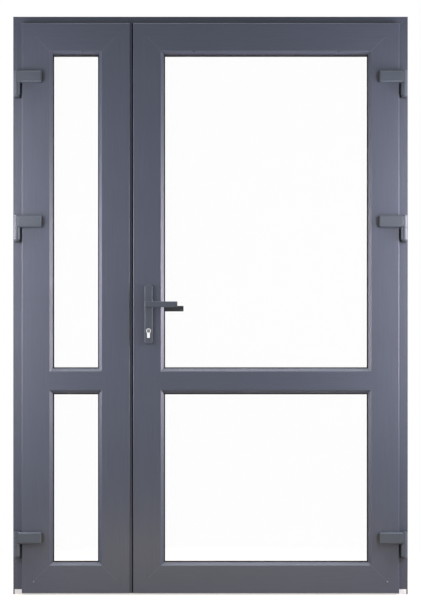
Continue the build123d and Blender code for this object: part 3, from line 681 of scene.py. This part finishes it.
def facing(place, normal):
    """A turn that sets a piece's own +Z along normal at place."""
    turn = Vector(normal).to_track_quat("Z", "Y").to_matrix().to_4x4()
    return Matrix.Translation(Vector(place)) @ turn


def piece_from(name, mesh, body, material):
    """Turn a bmesh into a smooth piece that rides on a body."""
    bmesh.ops.recalc_face_normals(mesh, faces=mesh.faces)
    data = bpy.data.meshes.new(name)
    mesh.to_mesh(data)
    mesh.free()
    for polygon in data.polygons:
        polygon.use_smooth = True
    data.materials.append(material)
    piece = bpy.data.objects.new(name, data)
    bpy.context.scene.collection.objects.link(piece)
    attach(piece, body)


def middle(low, high, share=0.5):
    return low + (high - low) * share


# Operators, one for each group of like pieces
class DOOR_OT_profiles(Operator):
    """Finish the frame, the leaves, the beads and the astragal with foil along each member"""

    bl_idname = "door.profiles"
    bl_label = "Profiles"

    def corners(self):
        """Each region's welded corners: x, z and the ways inward."""
        found = {}
        for leaf in LEAF_SIDES:
            sides = [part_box(f"{leaf}_{piece}") for piece in ("hinge_stile", "meeting_stile")]
            x0 = min(low[0] for low, _ in sides)
            x1 = max(high[0] for _, high in sides)
            z0, z1 = sides[0][0][2], sides[0][1][2]
            found[leaf] = [(x0, z0, 1, 1), (x0, z1, 1, -1), (x1, z0, -1, 1), (x1, z1, -1, -1)]
        low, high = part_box("frame_head")
        found["frame"] = [(low[0], high[2], 1, -1), (high[0], high[2], -1, -1)]
        return found

    def execute(self, context):
        looks = context.scene.door_finishes
        colour = tuple(looks.foil)
        made = {}
        for region, corners in self.corners().items():
            span = FRAME_WELD if region == "frame" else LEAF_WELD
            for grain in (VERTICAL, LENGTHWISE):
                name = f"foil_{region}_{grain}"
                made[region, grain] = foil_finish(
                    name, colour, grain, looks.grain_pitch, corners, span, looks.weld_width
                )
        for node in nodes_ending("_stile", "_jamb"):
            region = node.split("_")[0]
            dress(node, made[region, VERTICAL])
        for node in nodes_ending("_rail", "frame_head"):
            region = node.split("_")[0]
            dress(node, made[region, LENGTHWISE])
        for leaf in LEAF_SIDES:
            dress(f"{leaf}_beads", made[leaf, VERTICAL])
        dress("astragal", made["passive", VERTICAL])
        return {"FINISHED"}


class DOOR_OT_glazing(Operator):
    """Finish the glass units and their spacer bars"""

    bl_idname = "door.glazing"
    bl_label = "Glazing"

    def execute(self, context):
        clear = glass_finish("clear_glass")
        for node in nodes_ending("_glass"):
            dress(node, clear)
        bar = spacer_finish("spacer_bar")
        for node in nodes_ending("_spacers"):
            dress(node, bar)
        return {"FINISHED"}


class DOOR_OT_seals(Operator):
    """Finish the glazing, flange and rebate seals"""

    bl_idname = "door.seals"
    bl_label = "Seals"

    def execute(self, context):
        rubber = rubber_finish("black_rubber", tuple(context.scene.door_finishes.seal))
        for node in nodes_ending("_seals"):
            dress(node, rubber)
        return {"FINISHED"}


class DOOR_OT_hinges(Operator):
    """Finish the hinges and cap the knuckles"""

    bl_idname = "door.hinges"
    bl_label = "Hinges"

    def execute(self, context):
        colour = tuple(context.scene.door_finishes.powder_coat)
        coat = powder_finish("hinge_powder_coat", colour)
        for node in nodes_ending("_hinge_barrel"):
            dress(node, coat)
        cover_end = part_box("active_top_hinge_arm")[0][0] + HINGE_BASE_END
        arm_coat = powder_finish("hinge_arm_coat", colour, cover_end)
        for node in nodes_ending("_hinge_arm"):
            dress(node, arm_coat)
        dress("hinge_packers", moulded_finish("black_packer", PACKER_BLACK, 0.7))
        dress("hinge_pins", metal_finish("pin_steel", PIN_STEEL, DRAWN_UP, 0.28))
        sizes = context.scene.door_fixings
        form = cap_height(sizes.cap_radius)
        for leaf, side in LEAF_SIDES.items():
            caps = bmesh.new()
            for level in HINGE_LEVELS:
                low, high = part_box(f"{leaf}_{level}_hinge_arm")
                pin_side = high[0] if side > 0 else low[0]
                knuckle = (high[1] - low[1]) / 2
                place = (pin_side - side * knuckle, middle(low[1], high[1]), high[2])
                turn = facing(place, (0, 0, 1))
                round_head(caps, turn, sizes.cap_radius, sizes.ring_steps, CAP_RINGS, form)
            piece_from(f"{leaf}_hinge_caps", caps, f"{leaf}_leaf", coat)
        return {"FINISHED"}


class DOOR_OT_handle_set(Operator):
    """Finish the levers, the back plates and the cylinder"""

    bl_idname = "door.handle_set"
    bl_label = "Handle set"

    def execute(self, context):
        looks = context.scene.door_finishes
        coat = powder_finish("handle_powder_coat", tuple(looks.powder_coat))
        for node in nodes_ending("_lever", "_back_plate"):
            dress(node, coat)
        # Painted shade: the outer lever's coat is darkened for the door's shadow that falls on it
        dark = scaled(looks.powder_coat, OUTER_LEVER_PAINTED_SHADE)
        dress("outer_lever", powder_finish("outer_lever_painted_shade_coat", dark))
        nickel = metal_finish("cylinder_nickel", tuple(looks.nickel), TURNED_THROUGH, 0.26, 0.08)
        dress("cylinder_body", nickel)
        # Painted shade: the plug is dark to stand for the shade in its keyway
        plug = metal_finish("plug_steel_keyway_shade", PLUG_STEEL_KEYWAY_SHADE, TURNED_THROUGH, 0.32, 0.08)
        dress("cylinder_plug", plug)
        return {"FINISHED"}


class DOOR_OT_lock_metal(Operator):
    """Finish the lock, the latch, the bolts, the keeps and the steel stiffeners"""

    bl_idname = "door.lock_metal"
    bl_label = "Lock and bolts"

    def execute(self, context):
        plated = metal_finish("plated_steel", PLATED_STEEL, ROLLED_UP, 0.32)
        for node in (
            "lock_case",
            "lock_faceplate",
            "strike_plate",
            "bolt_keeps",
            "latch",
            "deadbolt",
            "top_edge_bolt",
            "bottom_edge_bolt",
            "spindle",
            "follower",
        ):
            dress(node, plated)
        zinc = zinc_finish("zinc_steel")
        for node in nodes_ending("_steel"):
            dress(node, zinc)
        return {"FINISHED"}


class DOOR_OT_threshold(Operator):
    """Finish the threshold and its end blocks"""

    bl_idname = "door.threshold"
    bl_label = "Threshold"

    def execute(self, context):
        dress("threshold", metal_finish("satin_aluminium", ALUMINIUM, ROLLED_ACROSS, 0.38, 0.1))
        pale = tuple(context.scene.door_finishes.end_block)
        dress("threshold_end_blocks", moulded_finish("pale_plastic", pale, 0.45))
        return {"FINISHED"}


class DOOR_OT_screws(Operator):
    """Set the small screws into the plates, the astragal, the threshold and the leaves' feet"""

    bl_idname = "door.screws"
    bl_label = "Screws"

    def spots(self):
        """Each body's screws: place, way out and whether the screw is a small one."""
        found = {"frame": [], "passive_leaf": [], "active_leaf": []}
        low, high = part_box("lock_faceplate")
        lock_y = middle(low[1], high[1])
        cylinder_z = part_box("cylinder_plug")[1][2] - CYLINDER_DROP
        for z in (low[2] + FACEPLATE_INSET, cylinder_z, high[2] - FACEPLATE_INSET):
            found["active_leaf"].append(((low[0], lock_y, z), (-1, 0, 0), False))
        low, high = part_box("strike_plate")
        for z in (low[2] + STRIKE_INSET, middle(low[2], high[2]), high[2] - STRIKE_INSET):
            found["passive_leaf"].append(((high[0], lock_y, z), (1, 0, 0), False))
        low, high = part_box("astragal")
        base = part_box("passive_meeting_stile")[1][0] + ASTRAGAL_THICKNESS
        for share in ASTRAGAL_SHARES:
            place = (base, high[1] - ASTRAGAL_INSET, middle(low[2], high[2], share))
            found["passive_leaf"].append((place, (1, 0, 0), False))
        low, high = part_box("bolt_keeps")
        for x in (low[0] + KEEP_INSET, high[0] - KEEP_INSET):
            found["frame"].append(((x, lock_y, high[2] - KEEP_THICKNESS), (0, 0, -1), True))
            found["frame"].append(((x, lock_y, low[2] + KEEP_THICKNESS), (0, 0, 1), True))
        low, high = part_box("threshold")
        y = middle(low[1], high[1], THRESHOLD_DEPTH)
        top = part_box("threshold_end_blocks")[1][2]
        for share in THRESHOLD_SHARES:
            found["frame"].append(((middle(low[0], high[0], share), y, top), (0, 0, 1), False))
        for leaf, side in LEAF_SIDES.items():
            low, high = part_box(f"{leaf}_hinge_stile")
            x = (low[0] if side < 0 else high[0]) - side * FOOT_SCREW_ACROSS
            place = (x, low[1], low[2] + FOOT_SCREW_UP)
            found[f"{leaf}_leaf"].append((place, (0, -1, 0), True))
        return found

    def execute(self, context):
        sizes = context.scene.door_fixings
        steel = metal_finish("screw_steel", SCREW_STEEL, EVEN_GRAIN, 0.42, 0.1)
        for body, screws in self.spots().items():
            heads = bmesh.new()
            for place, way, small in screws:
                radius = sizes.stop_radius if small else sizes.screw_radius
                turn = facing(place, way)
                form = screw_height(radius)
                round_head(heads, turn, radius, sizes.ring_steps, SCREW_RINGS, form)
            piece_from(f"{body}_screws", heads, body, steel)
        return {"FINISHED"}


class DOOR_OT_stage(Operator):
    """Set up the floor, the lamps, the surroundings and the camera"""

    bl_idname = "door.stage"
    bl_label = "Studio"

    def execute(self, context):
        scene = context.scene
        studio = scene.door_studio
        scene.view_settings.view_transform = "Standard"
        self.floor(scene)
        self.surroundings(scene)
        for lamp in LAMPS:
            self.hang(scene, lamp, getattr(studio, lamp.power) * lamp.share)
        self.camera(scene, studio)
        return {"FINISHED"}

    def floor(self, scene):
        shade = new_shade("pale_floor")
        matt = shade.node("ShaderNodeBsdfDiffuse", None, {"Color": (*FLOOR, 1)})
        lift = shade.light("ShaderNodeEmission", FLOOR_LIFT, FLOOR_LIFT_STRENGTH)
        near = shade.node("ShaderNodeAddShader", None, {0: matt, 1: lift})
        far = shade.light("ShaderNodeEmission", WHITE, 1.0)
        away = shade.node(
            "ShaderNodeVectorMath", {"operation": "LENGTH"}, {0: shade.place()}, "Value"
        )
        fade = ((away - FLOOR_FADE_START) / FLOOR_FADE_LENGTH).most(0).least(1)
        pale = shade.blend(fade, near, far)
        mixed = shade.blend(shade.seen_directly(), matt, pale)
        shade.node("ShaderNodeOutputMaterial", None, {"Surface": mixed})
        mesh = bmesh.new()
        bmesh.ops.create_circle(mesh, cap_ends=True, segments=96, radius=FLOOR_RADIUS)
        data = bpy.data.meshes.new("pale_floor")
        mesh.to_mesh(data)
        mesh.free()
        data.materials.append(shade.owner)
        ground = bpy.data.objects.new("pale_floor", data)
        ground.location.z = -FLOOR_DROP
        scene.collection.objects.link(ground)

    def surroundings(self, scene):
        scene.world = bpy.data.worlds.new("studio_surroundings")
        shade = Shade(scene.world)
        soft = shade.light("ShaderNodeBackground", SKY, SKY_STRENGTH)
        white = shade.light("ShaderNodeBackground", WHITE, 1.0)
        mixed = shade.blend(shade.seen_directly(), soft, white)
        shade.node("ShaderNodeOutputWorld", None, {"Surface": mixed})

    def hang(self, scene, lamp, power):
        data = bpy.data.lights.new(lamp.name, "AREA")
        data.shape = "RECTANGLE"
        data.size, data.size_y = lamp.size
        data.energy = power
        data.color = lamp.colour
        hung = bpy.data.objects.new(lamp.name, data)
        hung.location = lamp.place
        hung.visible_camera = False
        way = Vector(lamp.target) - Vector(lamp.place)
        hung.rotation_euler = way.to_track_quat("-Z", "Y").to_euler()
        scene.collection.objects.link(hung)

    def camera(self, scene, studio):
        lens = bpy.data.cameras.new("photo_camera")
        lens.sensor_fit = "HORIZONTAL"
        lens.sensor_width = SENSOR_WIDTH
        lens.lens = studio.lens
        lens.shift_y = studio.lens_shift
        camera = bpy.data.objects.new("photo_camera", lens)
        camera.location = (0.0, FRAME_FACE - studio.distance, studio.eye_height)
        camera.rotation_euler = (math.pi / 2, 0, 0)
        scene.collection.objects.link(camera)
        scene.camera = camera


OPERATORS = (
    DOOR_OT_profiles,
    DOOR_OT_glazing,
    DOOR_OT_seals,
    DOOR_OT_hinges,
    DOOR_OT_handle_set,
    DOOR_OT_lock_metal,
    DOOR_OT_threshold,
    DOOR_OT_screws,
    DOOR_OT_stage,
)


class DOOR_PT_sidebar(Panel):
    """The door's finishes and pieces"""

    bl_idname = "DOOR_PT_sidebar"
    bl_label = "Glazed entrance door"
    bl_space_type = "VIEW_3D"
    bl_region_type = "UI"
    bl_category = "Door"

    def draw(self, context):
        for group in ("door_finishes", "door_fixings", "door_studio"):
            settings = getattr(context.scene, group)
            box = self.layout.box()
            for name in settings.bl_rna.properties.keys():
                if name not in ("rna_type", "name"):
                    box.prop(settings, name)
        for operator in OPERATORS:
            self.layout.operator(operator.bl_idname)


GROUPS = {"door_finishes": DoorFinishes, "door_fixings": DoorFixings, "door_studio": DoorStudio}


def register():
    for group in GROUPS.values():
        bpy.utils.register_class(group)
    for name, group in GROUPS.items():
        setattr(bpy.types.Scene, name, PointerProperty(type=group))
    for operator in OPERATORS:
        bpy.utils.register_class(operator)
    bpy.utils.register_class(DOOR_PT_sidebar)


def unregister():
    bpy.utils.unregister_class(DOOR_PT_sidebar)
    for operator in reversed(OPERATORS):
        bpy.utils.unregister_class(operator)
    for name, group in GROUPS.items():
        delattr(bpy.types.Scene, name)
        bpy.utils.unregister_class(group)


def main():
    register()
    bpy.ops.door.profiles()
    bpy.ops.door.glazing()
    bpy.ops.door.seals()
    bpy.ops.door.hinges()
    bpy.ops.door.handle_set()
    bpy.ops.door.lock_metal()
    bpy.ops.door.threshold()
    bpy.ops.door.screws()
    bpy.ops.door.stage()


if __name__ == "__main__":
    main()
